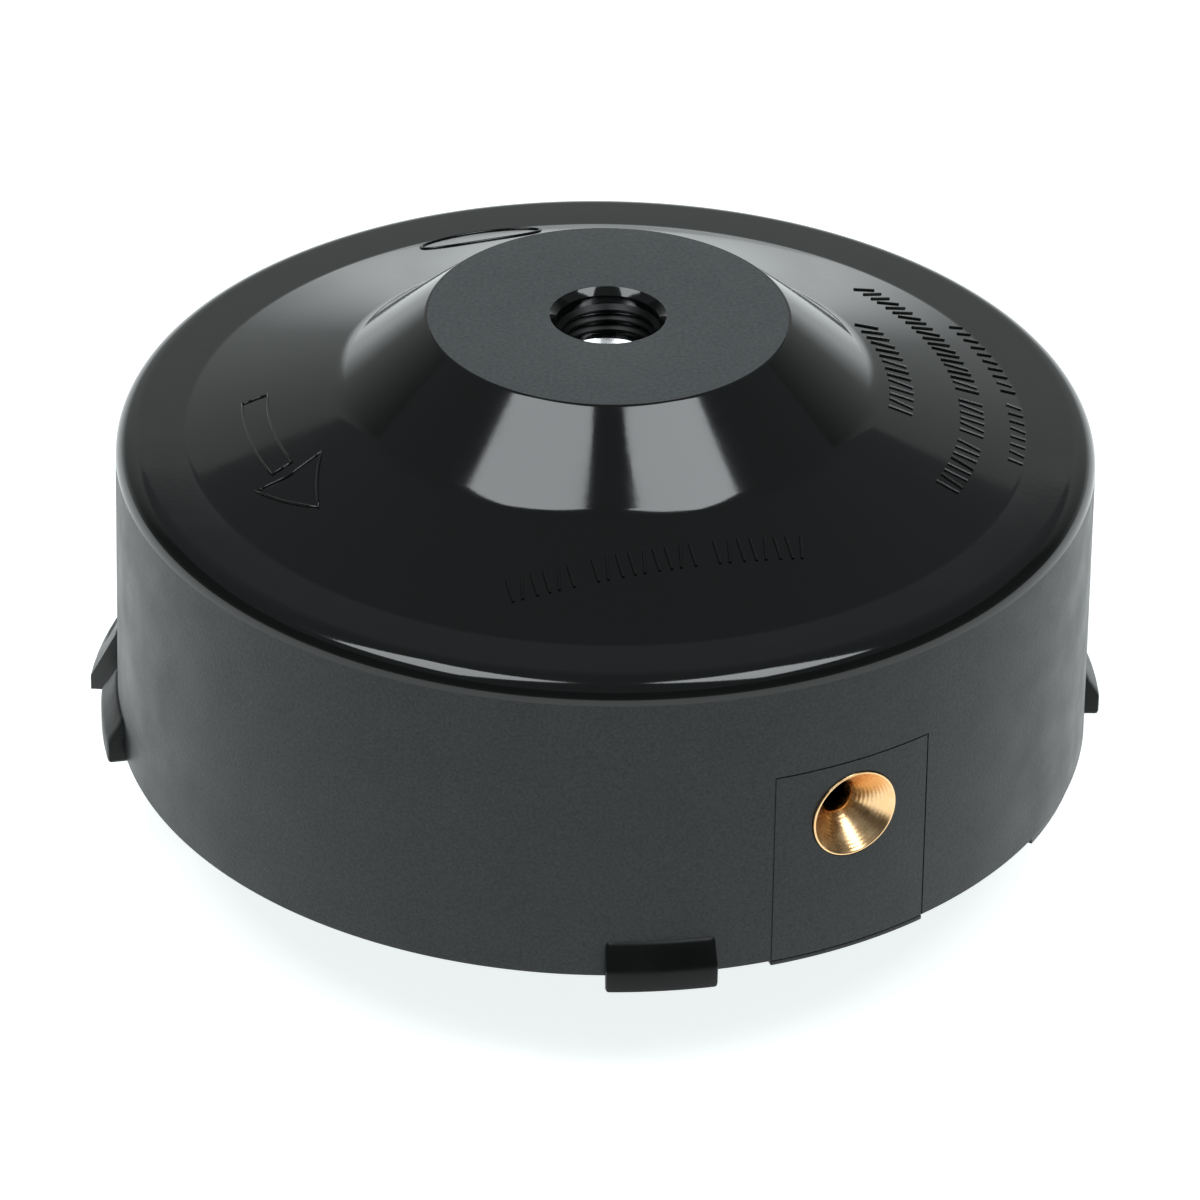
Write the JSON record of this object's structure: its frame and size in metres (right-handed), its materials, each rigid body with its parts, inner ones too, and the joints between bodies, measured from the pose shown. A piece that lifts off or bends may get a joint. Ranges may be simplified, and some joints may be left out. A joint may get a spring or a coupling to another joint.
{
  "type": "trimmer head",
  "caption": "Round bump-feed line head for a string trimmer: threaded hub, side line eyelets, twist-lock cover, sprung spool and bump knob",
  "frame": {"origin": "centre of the hub's seating face, on the arbor's axis", "axes": "+Z along the arbor's axis, out of the hub towards the gearbox; -Y is the front"},
  "size_m": [0.1162, 0.1146, 0.0651],
  "materials": {
    "case_plastic": "polished mould above, fine matt texture on the wall",
    "cover_plastic": "satin moulded",
    "spool_plastic": "satin moulded",
    "knob_plastic": "matt moulded",
    "nut_steel": "turned, bright zinc",
    "zinc_steel": "bright zinc",
    "spring_steel": "drawn wire",
    "eyelet_brass": "turned and polished"
  },
  "bodies": {
    "housing": {"case": "case_plastic", "arbor_nut": "nut_steel", "eyelet_front": "eyelet_brass", "eyelet_rear": "eyelet_brass", "nut_washer": "zinc_steel", "feed_spring": "spring_steel"},
    "base": {"cover": "cover_plastic"},
    "lifter": {"spring_seat": "zinc_steel"},
    "reel": {"spool": "spool_plastic", "bump_knob": "knob_plastic", "knob_screw": "zinc_steel", "screw_washer": "zinc_steel"}
  },
  "joints": [
    {"name": "cover_twist", "type": "hinge", "parent": "housing", "child": "base", "pos_m": [0, 0, -0.0511], "axis": [0, 0, 1], "range_deg": [-15, 0]},
    {"name": "bump", "type": "slide", "parent": "housing", "child": "lifter", "axis": [0, 0, 1], "range_m": [0, 0.005], "stiffness_N_per_m": 1200, "springref_m": -0.012, "deforming": ["feed_spring"]},
    {"name": "spool_index", "type": "hinge", "parent": "lifter", "child": "reel", "pos_m": [0, 0, -0.0511], "axis": [0, 0, 1], "range_deg": [-25, 4]}
  ]
}
